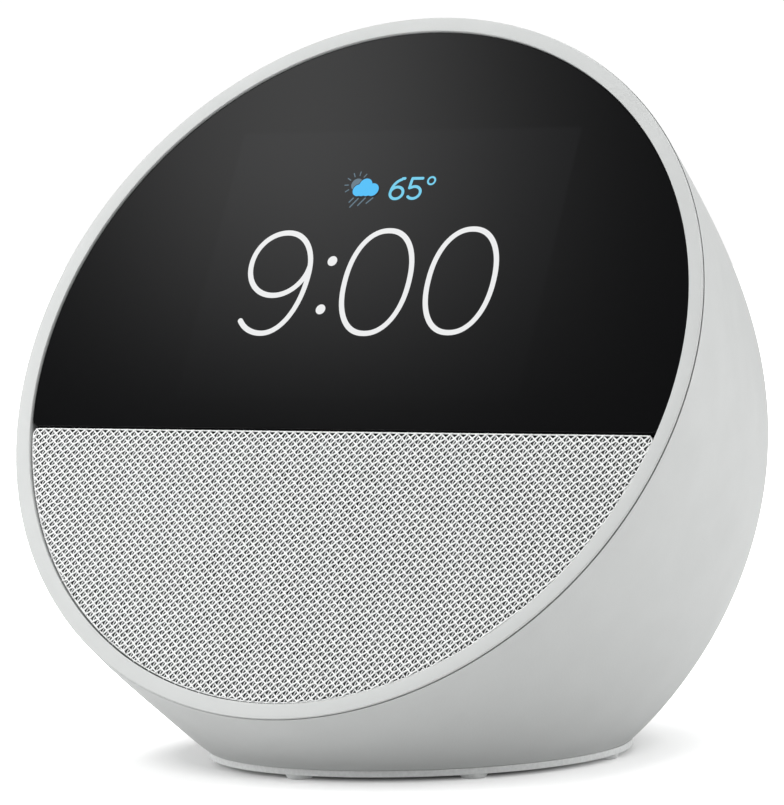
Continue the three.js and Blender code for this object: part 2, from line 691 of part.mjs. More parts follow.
function basePlate() {
  let made = post(BASE_PLATE.radius, BASE_PLATE.under, BASE_PLATE.top, 0, BASE_Y, 48);
  for (const degrees of BASE_SCREW_ANGLES) {
    const [x, y] = baseScrewPlace(degrees);
    made = made.subtract(post(BOSS.bore, 0, 9, x, y, 10)).subtract(post(2.6, 0, 3.6, x, y, 14));
  }
  return made;
}

// Weight in the back of the base, a disc cut straight so that it clears the speaker box.
function ballastPlate() {
  const disc = post(20.2, BASE_PLATE.top + CLEAR, 9.4, 0, BASE_Y, 40);
  return disc.intersect(block(60, 40, 0, 20, 0, 18));
}

add(display, "foot_ring", footRing(), "rubber");
add(display, "base_plate", basePlate(), "shell");
add(display, "ballast_plate", ballastPlate(), "steel");
BASE_SCREW_ANGLES.forEach((degrees, i) => {
  const [x, y] = baseScrewPlace(degrees);
  add(display, `base_screw_${i + 1}`, screw(2.2, 1, -9, x, y, 3.3), "steel");
});

// ---------------------------------------------------------------- inner leads
function lead(radius, points) {
  const path = new THREE.CatmullRomCurve3(points);
  const section = new THREE.Shape().absarc(0, 0, radius, 0, 2 * Math.PI, false);
  const options = { steps: 12, extrudePath: path, bevelEnabled: false, curveSegments: 4 };
  return solid(new THREE.ExtrudeGeometry(section, options));
}

const onFace = (x, y, z) => new THREE.Vector3(x, y, z).applyMatrix4(face.matrixWorld);
const onTop = (x, y, z) => new THREE.Vector3(x, y, z).applyMatrix4(buttons.matrixWorld);
const world = (x, y, z) => new THREE.Vector3(x, y, z);

add(display, "speaker_lead", lead(0.8, [
  onFace(10, -18, -14), onFace(10, -13, -14), onFace(10, -9.5, -16.5),
  onFace(14, -6.5, -20), onFace(17, -2, -19.5),
]), "soft");
add(display, "jack_lead", lead(0.9, [
  world(-6, 18.5, 21.8), world(-9, 10, 26), world(-14, 2, 36), onFace(-22, -6, -21), onFace(-23, -5, -17.2),
]), "soft");
add(display, "button_lead", lead(0.9, [
  onTop(0, 4, boardTop - 1.6), onTop(0, 4, boardTop - 5), world(1, 13, 70),
  onFace(2, 28, -22), onFace(2, 33.5, -17.2),
]), "soft");

export default display;
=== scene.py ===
"""Looks for the table-top smart display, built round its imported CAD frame.

Lengths are in millimetres, in the frame's own axes, until mesh_data() turns them into metres.
The face's own coordinates are u to the right, v up the face and w out of it.
"""

import math

import bmesh
import bpy
import numpy as np
from mathutils import Matrix, Vector
from mathutils.bvhtree import BVHTree


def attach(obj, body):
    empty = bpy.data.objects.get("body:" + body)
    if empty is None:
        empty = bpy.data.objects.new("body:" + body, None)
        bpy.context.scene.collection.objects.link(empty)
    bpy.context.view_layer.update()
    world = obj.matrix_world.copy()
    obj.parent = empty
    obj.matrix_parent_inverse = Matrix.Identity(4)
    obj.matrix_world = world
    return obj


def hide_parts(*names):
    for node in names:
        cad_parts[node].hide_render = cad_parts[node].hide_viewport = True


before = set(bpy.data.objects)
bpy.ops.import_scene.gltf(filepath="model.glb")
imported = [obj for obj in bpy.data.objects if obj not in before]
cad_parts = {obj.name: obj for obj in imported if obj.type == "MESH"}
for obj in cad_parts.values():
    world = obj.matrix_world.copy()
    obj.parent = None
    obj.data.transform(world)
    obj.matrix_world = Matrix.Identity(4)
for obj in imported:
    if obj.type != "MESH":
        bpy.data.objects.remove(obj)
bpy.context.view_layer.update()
MM = 0.001
WHITE, BLACK = (1, 1, 1, 1), (0, 0, 0, 1)

# ---------------------------------------------------------------- driving dimensions
FACE_TILT = math.radians(29.2)
FACE_CENTRE = np.array([0, -23.76, 59.9])
FACE_RADIUS = 56.5
WALL = 2.0

BASE_RADIUS = 30.6
BASE_Y = -6.78
BASE_Z = 1.05
HOUSING_BOTTOM = 1.72

# The housing's outline for a direction a: [middle, times sin a, times sin a squared].
LEAVE_ANGLE = [5.5, 8.2, -6]
LEAVE_REACH = [20.2, 17.3, 4.1]
LAND_ANGLE = [37, 8.1, 0.6]
LAND_REACH = [21.4, 36.2, 24]

RIM_EDGE = 0.12  # rounding of the rim's outer and inner front edges
RIM_STEP = 0.2  # how far the bezel's edge stands in from the housing's skin
SEAM_DEPTH = 0.3
SEAM_GAP = 0.13
SEAM_EDGE = 0.03
CLEAR = 0.15
LIP = 0.9
LAP_DEPTH = 3.1
TONGUE_DEPTH = 5.4
TONGUE_INSET = WALL + 0.35
LEDGE_RADIUS = 51.6
LEDGE_DEPTH = 3.0
WINDOW_RADIUS = 54.1

GLASS_RADIUS = 53.97
GLASS_FRONT = -0.4
GLASS_THICK = 1.5
GLASS_EDGE = 0.04
GLASS_CORNER = 1.3
SPLIT = -11.05
CLOTH_TOP = SPLIT - 0.3
CLOTH_FRONT = -0.3

BUTTON_STEP = 16
BUTTON_ALONG = 0.27
BUTTON_RADIUS = 4.4
BUTTON_HOLE = 4.75
BUTTON_PROUD = 0.7
BUTTON_DISH = 0.12
BUTTON_SKIRT = 5.5
MIC_PLACES = [(-BUTTON_STEP / 2, -6.5), (BUTTON_STEP / 2, -6.5)]
MIC_HOLE = 0.7
BORE_FLOOR = -6.5  # how far the button and microphone bores reach into the housing

JACK_Z = 26
JACK_RADIUS = 6.0
JACK_FLOOR = 34.0
JACK_COLLAR = 7.6
JACK_NOSE = 3.9

FOOT = {"outer": 31.5, "inner": 21, "under": 0.72, "top": 1.7, "crown": 0.08, "edge": 0.12}
PADS = {"count": 7, "first": -6.2, "circle": 29.4}
PAD_PROFILE = [(0, 0.8), (2.1, 0.8), (2.0, 0.45), (1.8, 0.14), (1.7, 0.03), (1.6, 0), (0, 0)]

# ---------------------------------------------------------------- the face and the outer skin
FACE_NORMAL = np.array([0, -math.cos(FACE_TILT), math.sin(FACE_TILT)])
FACE_UP = np.array([0, math.sin(FACE_TILT), math.cos(FACE_TILT)])
SIDEWAYS = np.array([1.0, 0, 0])


def on_face(u, v, w):
    """Points of the face's own coordinates, in the frame's axes."""
    u, v, w = np.broadcast_arrays(u, v, w)
    return FACE_CENTRE + u[..., None] * SIDEWAYS + v[..., None] * FACE_UP + w[..., None] * FACE_NORMAL


def unit(v):
    return v / np.linalg.norm(v, axis=-1, keepdims=True)


def turned_left(way):
    return np.stack([-way[:, 1], way[:, 0]], -1)


def graded(row, a):
    return row[0] + row[1] * np.sin(a) + row[2] * np.sin(a) ** 2


def outline_controls(a):
    """The four control points of the housing's outline in the directions a."""
    a = np.asarray(a, float)
    cos, sin, none = np.cos(a), np.sin(a), np.zeros_like(a)
    out = cos[..., None] * SIDEWAYS + sin[..., None] * FACE_UP
    leave = np.radians(graded(LEAVE_ANGLE, a))[..., None]
    land = np.radians(graded(LAND_ANGLE, a))
    away = -FACE_NORMAL * np.cos(leave) - out * np.sin(leave)
    arrive = np.stack([-cos * np.cos(land), -sin * np.cos(land), -np.sin(land)], -1)
    start = FACE_CENTRE + FACE_RADIUS * out
    end = np.stack([BASE_RADIUS * cos, BASE_Y + BASE_RADIUS * sin, none + BASE_Z], -1)
    first = start + graded(LEAVE_REACH, a)[..., None] * away
    second = end - graded(LAND_REACH, a)[..., None] * arrive
    return start, first, second, end


def outline_point(a, t):
    p0, p1, p2, p3 = outline_controls(a)
    t = np.asarray(t, float)[..., None]
    s = 1 - t
    return s**3 * p0 + 3 * s**2 * t * p1 + 3 * s * t**2 * p2 + t**3 * p3


def outward(a, t):
    step = 1e-3
    along = outline_point(a, t + step) - outline_point(a, t - step)
    around = outline_point(a + step, t) - outline_point(a - step, t)
    return unit(np.cross(along, around))


def skin(a, t, inset=0.0):
    """Points of the housing's outer surface, moved inward by an inset."""
    return outline_point(a, t) - inset * outward(a, t)


def depth_behind_face(p):
    return (FACE_CENTRE - p) @ FACE_NORMAL


def place_where(a, inset, measure, value):
    """How far down the outline measure(point) reaches a value, for each direction a."""
    low, high = np.zeros_like(a), np.ones_like(a)
    for _ in range(30):
        middle = (low + high) / 2
        before = measure(skin(a, middle, inset)) < value
        low, high = np.where(before, middle, low), np.where(before, high, middle)
    return low


def skin_at_depth(a, inset, depth):
    return skin(a, place_where(a, inset, depth_behind_face, depth), inset)


def face_ring(a, radius, depth):
    return on_face(radius * np.cos(a), radius * np.sin(a), -depth)


def directions(count):
    return np.arange(count) * 2 * np.pi / count


# ---------------------------------------------------------------- mesh making
def grid_faces(loops, count, closed):
    """Quads between neighbouring loops of points; closed joins the last loop to the first."""
    i = np.arange(count)
    k = (i + 1) % count
    faces = []
    for j in range(loops if closed else loops - 1):
        here = j * count
        onward = ((j + 1) % loops) * count
        faces.append(np.stack([here + i, onward + i, onward + k, here + k], -1))
    return np.concatenate(faces).tolist()


def ring(loops):
    """A closed ring whose section is the loops in order."""
    count = len(loops[0])
    return np.concatenate(loops), grid_faces(len(loops), count, True)


def plug(loops):
    """Loops joined in order, with a flat cap over the first and the last."""
    count = len(loops[0])
    faces = grid_faces(len(loops), count, False)
    faces.append(list(range(count)))
    faces.append(list(range(len(loops) * count - 1, (len(loops) - 1) * count - 1, -1)))
    return np.concatenate(loops), faces


def together(parts):
    """Several (points, faces) as one."""
    points, faces, base = [], [], 0
    for p, f in parts:
        points.append(p)
        faces += [[k + base for k in face] for face in f]
        base += len(p)
    return np.concatenate(points), faces


def in_scene(name, data):
    """A new object of the scene that holds the data."""
    obj = bpy.data.objects.new(name, data)
    bpy.context.scene.collection.objects.link(obj)
    return obj


def mesh_data(name, points, faces):
    """Mesh data from points in mm."""
    data = bpy.data.meshes.new(name)
    data.from_pydata((np.asarray(points, float) * MM).tolist(), [], faces)
    return data


def mesh(name, made, sharp=40):
    """A new object from (points in mm, faces), its faces turned outward and shaded smooth."""
    data = mesh_data(name, *made)
    data.validate()
    obj = in_scene(name, data)
    face_out(data)
    smooth(obj, sharp)
    return obj


def face_out(data):
    """Turns each shell of a closed mesh so that its faces point outward."""
    bm = bmesh.new()
    bm.from_mesh(data)
    bmesh.ops.recalc_face_normals(bm, faces=bm.faces)
    bm.to_mesh(data)
    bm.free()


def smooth(obj, sharp):
    obj.data.shade_smooth()
    obj.data.set_sharp_from_angle(angle=math.radians(sharp))


def combine(obj, other, operation):
    """Joins or cuts obj with another closed mesh, which is then removed."""
    modifier = obj.modifiers.new(operation.lower(), "BOOLEAN")
    modifier.operation = operation
    modifier.solver = "MANIFOLD"
    modifier.object = other
    with bpy.context.temp_override(object=obj, active_object=obj, selected_objects=[obj]):
        bpy.ops.object.modifier_apply(modifier=modifier.name)
    bpy.data.objects.remove(other)


def fillet(before, corner, after, radius, steps=5):
    """Loops that round the corner between two neighbouring loops of a section."""
    back, ahead = unit(before - corner), unit(after - corner)
    half = np.arccos(np.clip((back * ahead).sum(-1, keepdims=True), -1, 1)) / 2
    centre = corner + unit(back + ahead) * radius / np.sin(half)
    start = corner + back * radius / np.tan(half) - centre
    end = corner + ahead * radius / np.tan(half) - centre
    turn = np.pi - 2 * half
    loops = []
    for s in np.linspace(0, 1, steps + 1):
        loops.append(centre + (np.sin((1 - s) * turn) * start + np.sin(s * turn) * end) / np.sin(turn))
    return loops


def arc(centre, reach, start, end, steps=16, power=2.0):
    """Points between two angles, in degrees, of a circle, an ellipse, or a squarer curve.

    reach is one radius or two, and a power above 2 makes the curve squarer.
    """
    t = np.radians(np.linspace(start, end, steps + 1))
    way = np.stack([np.cos(t), np.sin(t)], -1)
    return np.asarray(centre) + np.asarray(reach) * np.sign(way) * np.abs(way) ** (2 / power)


def section(corners):
    """A closed section from (loop, radius) pairs: each corner with a radius is rounded."""
    loops = []
    for i, (corner, radius) in enumerate(corners):
        if radius:
            before, after = corners[i - 1][0], corners[(i + 1) % len(corners)][0]
            loops += fillet(before, corner, after, radius)
        else:
            loops.append(corner)
    return loops


def store_places(data, places):
    """Stores each point's place on the face, in mm, for the looks that follow it."""
    stored = data.attributes.new("face", "FLOAT_VECTOR", "POINT")
    stored.data.foreach_set("vector", places.astype(np.float32).ravel())


def finish_piece(obj, body, slot, look, *nodes):
    """Puts a finished piece on its body, with its look, for the CAD nodes that it stands for."""
    obj.data.materials.clear()
    obj.data.materials.append(look)
    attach(obj, body)
    if nodes:
        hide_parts(*nodes)


# ---------------------------------------------------------------- materials
class Look:
    """A node material round one Principled shader."""

    def __init__(self, name, **values):
        self.material = bpy.data.materials.new(name)
        self.material.use_nodes = True
        self.tree = self.material.node_tree
        self.shader = self.tree.nodes["Principled BSDF"]
        self.place = self.tree.nodes.new("ShaderNodeTexCoord").outputs["Object"]
        for socket, value in values.items():
            self.shader.inputs[socket.replace("_", " ")].default_value = value

    def node(self, kind, **inputs):
        made = self.tree.nodes.new(kind)
        for name, value in inputs.items():
            self.put(made.inputs[name.replace("_", " ")], value)
        return made

    def put(self, socket, value):
        if isinstance(value, bpy.types.NodeSocket):
            self.tree.links.new(value, socket)
        else:
            socket.default_value = value

    def noise(self, size, detail=2.0, stretch=(1, 1, 1)):
        """Noise whose features are about size mm across, from 0 to 1."""
        scaled = self.node("ShaderNodeMapping", Vector=self.place)
        scaled.inputs["Scale"].default_value = [1 / (size * MM * s) for s in stretch]
        return self.node("ShaderNodeTexNoise", Vector=scaled.outputs[0], Scale=1.0, Detail=detail).outputs[0]

    def ramp(self, value, low, high, start=0.0, end=1.0):
        """A number that goes from low to high as value goes from start to end."""
        made = self.node("ShaderNodeMapRange", Value=value)
        for name, number in (("From Min", start), ("From Max", end), ("To Min", low), ("To Max", high)):
            made.inputs[name].default_value = number
        return made.outputs[0]

    def math(self, operation, a, b=0.0):
        made = self.tree.nodes.new("ShaderNodeMath")
        made.operation = operation
        self.put(made.inputs[0], a)
        self.put(made.inputs[1], b)
        return made.outputs[0]

    def mix(self, share, a, b):
        made = self.tree.nodes.new("ShaderNodeMix")
        made.data_type = "RGBA"
        self.put(made.inputs["Factor"], share)
        for socket, colour in (("A", a), ("B", b)):
            self.put(made.inputs[socket], (*colour, 1) if isinstance(colour, tuple) else colour)
        return made.outputs["Result"]

    def cloudy_mix(self, noise, a, b):
        """Colour that wanders softly from a to b with the noise."""
        return self.mix(self.ramp(noise, 0, 1, 0.3, 0.7), a, b)

    def face_place(self):
        """Where the shaded spot lies on the face, in mm: u to the right and v up."""
        spot = self.node("ShaderNodeAttribute")
        spot.attribute_name = "face"
        split = self.node("ShaderNodeSeparateXYZ", Vector=spot.outputs["Vector"])
        return split.outputs["X"], split.outputs["Y"]

    def bump(self, height, distance):
        """Relief of distance mm."""
        made = self.node("ShaderNodeBump", Height=height, Strength=1.0, Distance=distance * MM)
        self.set("Normal", made.outputs[0])

    def set(self, socket, value):
        self.put(self.shader.inputs[socket], value)


def shade(colour, share):
    """A colour darkened to a share of itself."""
    return tuple(c * share for c in colour)


def moulded_plastic(name, colour, roughness, relief=0.012):
    """Fine-grained moulded plastic with slight unevenness in tone and gloss."""
    look = Look(name)
    cloudy = look.noise(9, 3)
    fine = look.noise(0.35, 2)
    look.set("Base Color", look.cloudy_mix(cloudy, colour, shade(colour, 0.965)))
    uneven = look.math("ADD", look.ramp(cloudy, -0.03, 0.03, 0.3, 0.7), look.ramp(fine, -0.04, 0.04))
    look.set("Roughness", look.math("ADD", uneven, roughness))
    look.bump(fine, relief)
    return look.material


def metal(name, colour, roughness, stretch=(1, 1, 1), size=0.6):
    """Machined or drawn metal: fine lines along the long way of the noise."""
    look = Look(name, Metallic=1.0)
    lines = look.noise(size, 3, stretch)
    stain = look.noise(6, 2)
    look.set("Base Color", look.cloudy_mix(stain, colour, shade(colour, 0.85)))
    look.set("Roughness", look.math("ADD", look.ramp(lines, -0.08, 0.08), roughness))
    look.bump(lines, 0.01)
    return look.material


# The lit panel's edges on the face: where it starts, is full, starts to fade and has gone.
PANEL_WIDE = (-28.9, -28.4, 29.0, 29.5)
PANEL_HIGH = (-6.4, -5.8, 37.4, 37.8)
PANEL_RISE = (-6, 32)  # it is dimmer low down and full at the upper of these


def cover_glass_look():
    """Black-backed cover glass; the lit panel behind it shows as a faintly lighter field."""
    look = Look("cover_glass", IOR=1.5)
    u, v = look.face_place()
    inside = look.ramp(v, 0.15, 1, *PANEL_RISE)
    for place, (start, full, fading, gone) in ((u, PANEL_WIDE), (v, PANEL_HIGH)):
        inside = look.math("MULTIPLY", inside, look.ramp(place, 0, 1, start, full))
        inside = look.math("MULTIPLY", inside, look.ramp(place, 1, 0, fading, gone))
    smudge = look.noise(22, 3)
    look.set("Base Color", look.mix(inside, (0.003, 0.0031, 0.0034), (0.004, 0.0042, 0.0046)))
    look.set("Roughness", look.ramp(smudge, 0.035, 0.06, 0.3, 0.7))
    look.set("Emission Color", look.mix(inside, (0, 0, 0), (0.0018, 0.0018, 0.0020)))
    look.set("Emission Strength", 1.0)
    return look.material


def knit_look():
    """Soft polyester yarn: fibre streaks along the yarn and a little sheen."""
    look = Look("knit_yarn", Sheen_Weight=0.4, Sheen_Roughness=0.5)
    fibre = look.noise(0.07, 2)
    tone = look.noise(5, 2)
    pale, grey = (0.95, 0.96, 0.955), (0.90, 0.91, 0.905)
    look.set("Base Color", look.mix(look.ramp(fibre, 0, 1, 0.35, 0.75), pale, grey))
    look.set("Roughness", look.ramp(tone, 0.8, 0.92))
    look.bump(fibre, 0.03)
    return look.material


def lit(name, colour):
    """A lit mark on the screen, seen through the same gloss as the glass round it."""
    look = Look(name, Base_Color=(0.01, 0.01, 0.01, 1), Roughness=0.05, IOR=1.5)
    cells = look.noise(0.12, 0)
    look.set("Emission Color", look.mix(cells, colour, shade(colour, 0.96)))
    look.set("Emission Strength", 1.0)
    return look.material


def rubber(name, colour, roughness=0.8):
    """Matt rubber with a little dust on it."""
    look = Look(name)
    dust = look.noise(0.5, 3)
    look.set("Base Color", look.cloudy_mix(dust, colour, shade(colour, 0.88)))
    look.set("Roughness", look.ramp(dust, roughness - 0.06, roughness + 0.06))
    look.bump(dust, 0.02)
    return look.material


def circuit_board():
    """Green solder mask with faint traces under it."""
    look = Look("solder_mask", Roughness=0.4)
    scaled = look.node("ShaderNodeMapping", Vector=look.place)
    scaled.inputs["Scale"].default_value = (700, 700, 700)
    cells = look.node("ShaderNodeTexVoronoi", Vector=scaled.outputs[0], Scale=1.0)
    cells.distance = "MANHATTAN"
    trace = look.ramp(cells.outputs["Distance"], 0, 1, 0.28, 0.34)
    look.set("Base Color", look.mix(trace, (0.03, 0.12, 0.06), (0.015, 0.075, 0.038)))
    look.bump(trace, 0.02)
    return look.material


def paper_cone():
    """Pressed paper pulp."""
    look = Look("paper_cone", Roughness=0.9)
    pulp = look.noise(0.4, 4)
    look.set("Base Color", look.mix(pulp, (0.03, 0.03, 0.033), (0.06, 0.06, 0.065)))
    look.bump(pulp, 0.05)
    return look.material


LOOKS = {
    "shell": moulded_plastic("moulded_shell", (0.562, 0.574, 0.568), 0.42),
    "glass": cover_glass_look(),
    "screen": moulded_plastic("screen_panel", (0.012, 0.013, 0.015), 0.2, relief=0.002),
    "cloth": knit_look(),
    "dark_plastic": moulded_plastic("dark_plastic", (0.035, 0.036, 0.039), 0.5),
    "foot_rubber": rubber("foot_rubber", (0.72, 0.735, 0.73), 0.75),
    "black_rubber": rubber("black_rubber", (0.02, 0.02, 0.022)),
    "paper_cone": paper_cone(),
    "steel": metal("zinc_steel", (0.55, 0.56, 0.58), 0.33, (6, 1, 1)),
    "ferrite": rubber("ferrite", (0.05, 0.05, 0.055), 0.6),
    "copper": metal("copper_winding", (0.72, 0.37, 0.2), 0.3, (8, 8, 1), 0.2),
    "alloy": metal("drawn_alloy", (0.72, 0.73, 0.75), 0.36, (1, 6, 1)),
    "circuit_board": circuit_board(),
    "flex_film": moulded_plastic("flex_film", (0.42, 0.18, 0.04), 0.35),
}


# ---------------------------------------------------------------- bezel and glass
AROUND = 360


def seam_share(a):
    """How open the seam is: fully up on the right, and nearly shut low on the left."""
    return 0.58 + 0.42 * np.cos(a - math.radians(30))


def make_bezel():
    a = directions(AROUND)
    rim = FACE_RADIUS - RIM_STEP * seam_share(a)
    corners = [
        (face_ring(a, rim, 0), RIM_EDGE),
        (face_ring(a, rim, SEAM_DEPTH), SEAM_EDGE),
        (skin_at_depth(a, LIP + CLEAR, SEAM_DEPTH), 0),
        (skin_at_depth(a, LIP + CLEAR, LAP_DEPTH), 0),
        (skin_at_depth(a, TONGUE_INSET, LAP_DEPTH), 0),
        (skin_at_depth(a, TONGUE_INSET, TONGUE_DEPTH), 0.2),
        (face_ring(a, LEDGE_RADIUS, TONGUE_DEPTH), 0),
        (face_ring(a, LEDGE_RADIUS, LEDGE_DEPTH), 0.15),
        (face_ring(a, WINDOW_RADIUS, LEDGE_DEPTH), 0),
        (face_ring(a, WINDOW_RADIUS, 0), RIM_EDGE),
    ]
    piece = mesh("bezel_ring_fine", ring(section(corners)))
    finish_piece(piece, "housing", "shell", LOOKS["shell"], "bezel_ring")


def segment_outline(radius, line, side, corner):
    """The part of a disc above (side 1) or below (side -1) a line, with rounded corners."""
    offset = line + side * corner
    middle = math.sqrt((radius - corner) ** 2 - offset**2)
    reach = math.degrees(math.atan2(offset, middle))
    right = arc((middle, offset), corner, -90 * side, reach, 10)
    sweep = arc((0, 0), radius, reach, 180 * side - reach, 239)[1:-1]
    return np.concatenate([right, sweep, right[::-1] * (-1, 1)])


def inset_loops(outline, profile):
    """Loops inside a closed outline of the face, at each (inset, w) of a profile."""
    inward = turned_left(unit(np.roll(outline, -1, 0) - np.roll(outline, 1, 0)))
    u, v = outline.T
    if (u * np.roll(v, -1) - v * np.roll(u, -1)).sum() < 0:
        inward = -inward
    return [on_face(*(outline + inward * inset).T, w) for inset, w in profile]


def make_glass():
    outline = segment_outline(GLASS_RADIUS, SPLIT, 1, GLASS_CORNER)
    # The last place, on the flat of the glass, keeps the rounding out of its shading.
    profile = [
        (0, GLASS_FRONT - GLASS_THICK),
        *arc((GLASS_EDGE, GLASS_FRONT - GLASS_EDGE), GLASS_EDGE, 180, 90, 4),
        (GLASS_EDGE + 0.1, GLASS_FRONT),
    ]
    piece = mesh("cover_glass_fine", plug(inset_loops(outline, profile)), 25)
    points = np.array([v.co for v in piece.data.vertices]) / MM - FACE_CENTRE
    store_places(piece.data, np.stack([points @ SIDEWAYS, points @ FACE_UP, points @ FACE_NORMAL], -1))
    finish_piece(piece, "housing", "glass", LOOKS["glass"], "cover_glass")


# ---------------------------------------------------------------- what the screen shows
MARK_FRONT = GLASS_FRONT + 0.03
MARK_BACK = GLASS_FRONT + 0.005


def flat_mark(outline):
    """A thin solid on the glass from a closed outline."""
    u, v = np.asarray(outline, float).T
    return plug([on_face(u, v, w) for w in (MARK_BACK, MARK_FRONT)])


def stroke(path, width, closed=False):
    """A pen stroke along a path on the face, with round ends."""
    path = np.asarray(path, float)
    along = unit(np.roll(path, -1, 0) - np.roll(path, 1, 0) if closed else np.gradient(path, axis=0))
    side = turned_left(along) * width / 2
    if closed:
        loops = [
            on_face(*(path + s * side).T, w)
            for s, w in ((1, MARK_BACK), (1, MARK_FRONT), (-1, MARK_FRONT), (-1, MARK_BACK))
        ]
        return ring(loops)
    ends = []
    for tip, ahead in ((path[-1], along[-1]), (path[0], -along[0])):
        heading = math.degrees(math.atan2(ahead[1], ahead[0]))
        ends.append(arc(tip, width / 2, heading + 90, heading - 90, 8)[1:-1])
    return flat_mark(np.concatenate([path + side, ends[0], (path - side)[::-1], ends[1]]))


def disc(centre, radius):
    return flat_mark(arc(centre, radius, 0, 360, 28)[:-1])


def joined(*paths):
    """Paths in order as one, without the points where they meet twice."""
    points = np.concatenate(paths)
    keep = np.r_[True, np.linalg.norm(np.diff(points, axis=0), axis=1) > 1e-4]
    return points[keep]


def clock_marks():
    pen = 0.84
    nine = joined(
        arc((-16.75, 9.25), (5.0, 4.95), 216, 270, 8),
        arc((-16.75, 14.0), (5.75, 9.7), 270, 360, 20, 2.1),
        arc((-16.3, 14.0), (5.3, 6.8), 0, 90, 18, 2.1),
        arc((-16.3, 15.65), (5.05, 5.15), 90, 180, 16, 2.05),
        arc((-16.3, 15.65), (5.05, 5.15), 180, 270, 16, 2.05),
        arc((-16.3, 15.75), (5.2, 5.25), 270, 356, 16),
    )
    marks = [stroke(nine, pen)]
    for centre in ((1.03, 12.65), (15.2, 12.8)):
        marks.append(stroke(arc(centre, (5.47, 8.36), 0, 360, 72, 2.18)[:-1], pen, True))
    marks += [disc((-7.45, 16.1), 0.8), disc((-7.4, 8.2), 0.8)]
    return together(marks)


def temperature_marks():
    pen = 0.45
    strokes = [
        joined(
            [(1.5, 29.6), (1.1, 29.58)],
            arc((1.65, 27.3), (2.1, 2.25), 105, 178, 10),
            arc((0.63, 27.23), (1.09, 0.97), 175, 545, 32),
        ),
        [(2.87, 29.59), (3.7, 29.59), (4.57, 29.59)],
        [(2.8, 29.59), (2.72, 28.8), (2.65, 28.02)],
        joined([(2.65, 28.02)], arc((3.55, 27.26), (1.12, 0.99), 118, -138, 22)),
    ]
    made = [stroke(path, pen) for path in strokes]
    made.append(stroke(arc((6.13, 29.17), 0.6, 0, 360, 24)[:-1], 0.3, True))
    return together(made)


# The cloud's round lobes as (middle, radius), and the level of its flat underside.
CLOUD_LOBES = [
    ((-6.0, 27.72), 0.96), ((-5.3, 27.68), 0.92), ((-4.95, 28.55), 1.1),
    ((-4.5, 27.68), 0.92), ((-3.6, 27.8), 1.04),
]
CLOUD_MIDDLE = np.array([-4.8, 27.7])
CLOUD_UNDER = 26.76


def cloud_outline(grow):
    """Outline of the cloud, grown by a width: the furthest lobe in each way from its middle."""
    points = []
    for t in directions(72):
        way = np.array([math.cos(t), math.sin(t)])
        reach = 0
        for centre, radius in CLOUD_LOBES:
            offset = np.array(centre) - CLOUD_MIDDLE
            along = offset @ way
            square = along**2 - offset @ offset + (radius + grow) ** 2
            if square > 0:
                reach = max(reach, along + math.sqrt(square))
        points.append(CLOUD_MIDDLE + way * reach)
    points = np.array(points)
    points[:, 1] = np.maximum(points[:, 1], CLOUD_UNDER - grow)
    return points


def lifted(made, height):
    """A mark moved out of the face by a height."""
    points, faces = made
    return points + FACE_NORMAL * height, faces


def weather_marks():
    sun = np.array([-6.5, 28.7])
    marks = [disc(sun, 1.0)]
    for k in range(6):
        t = math.radians(54 + 32 * k)
        way = np.array([math.cos(t), math.sin(t)])
        marks.append(stroke([sun + way * r for r in (1.5, 1.8, 2.1)], 0.16))
    for foot, head in (
        ((-7.13, 25.8), (-6.59, 26.46)),
        ((-6.8, 24.98), (-5.72, 26.39)),
        ((-5.5, 25.24), (-4.52, 26.46)),
        ((-4.13, 25.59), (-3.22, 26.46)),
    ):
        marks.append(stroke(np.linspace(foot, head, 3), 0.2))
    return together(marks)


def make_screen_marks():
    white = lit("lit_white", (0.84, 0.845, 0.85))
    blue = lit("lit_pale_blue", (0.16, 0.60, 0.83))
    sky = lit("lit_sky_blue", (0.055, 0.50, 0.92))
    dim = lit("lit_dim_blue", (0.105, 0.17, 0.22))
    edge = lit("unlit_outline", (0.004, 0.01, 0.02))
    for name, made, look in (
        ("clock_digits", clock_marks(), white),
        ("temperature_digits", temperature_marks(), blue),
        ("weather_sun_and_rain", weather_marks(), dim),
        ("weather_cloud_outline", lifted(flat_mark(cloud_outline(0.14)), 0.03), edge),
        ("weather_cloud", lifted(flat_mark(cloud_outline(0)), 0.06), sky),
    ):
        finish_piece(mesh(name, made, 30), "housing", "screen", look)


# ---------------------------------------------------------------- speaker cloth
CLOTH_PITCH = (1.46, 1.23)
CLOTH_EDGE = 53.88
CLOTH_CORNER = 1.0
CLOTH_LEVEL = CLOTH_FRONT - 0.1
CLOTH_TUCK = 0.15  # how far its edge is tucked down
KNIT_REACH = 90  # steps of the knit counted out to either side
YARN_OVER = 0.07
SHORTEST_SPAN = 0.4
# Each way of slanting (up to the right, down to the right) has its own yarn.
YARNS = {
    1: {"half": 0.155, "tall": 0.09, "lift": 0.03},
    -1: {"half": 0.118, "tall": 0.10, "lift": -0.02},
}
INNER_YARN = {"half": 0.09, "tall": 0.08, "slant": (0.12, 0.45), "sunk": (0.14, 0.02, 0.14)}
HEM_RADIUS = 0.11


def cloth_level(u, v):
    """How deep the cloth lies: level in the middle, tucked down at its edge."""
    to_edge = np.minimum(CLOTH_EDGE - np.hypot(u, v), CLOTH_TOP - v)
    tuck = np.clip(1 - to_edge / 0.4, 0, 1) ** 2
    return CLOTH_LEVEL - CLOTH_TUCK * tuck


def past_corner(u, v):
    """Whether a place is cut off by the cloth's rounded top corners."""
    low = CLOTH_TOP - CLOTH_CORNER
    middle = math.sqrt((CLOTH_EDGE - CLOTH_CORNER) ** 2 - low**2)
    return abs(u) > middle and v > low and math.hypot(abs(u) - middle, v - low) > CLOTH_CORNER


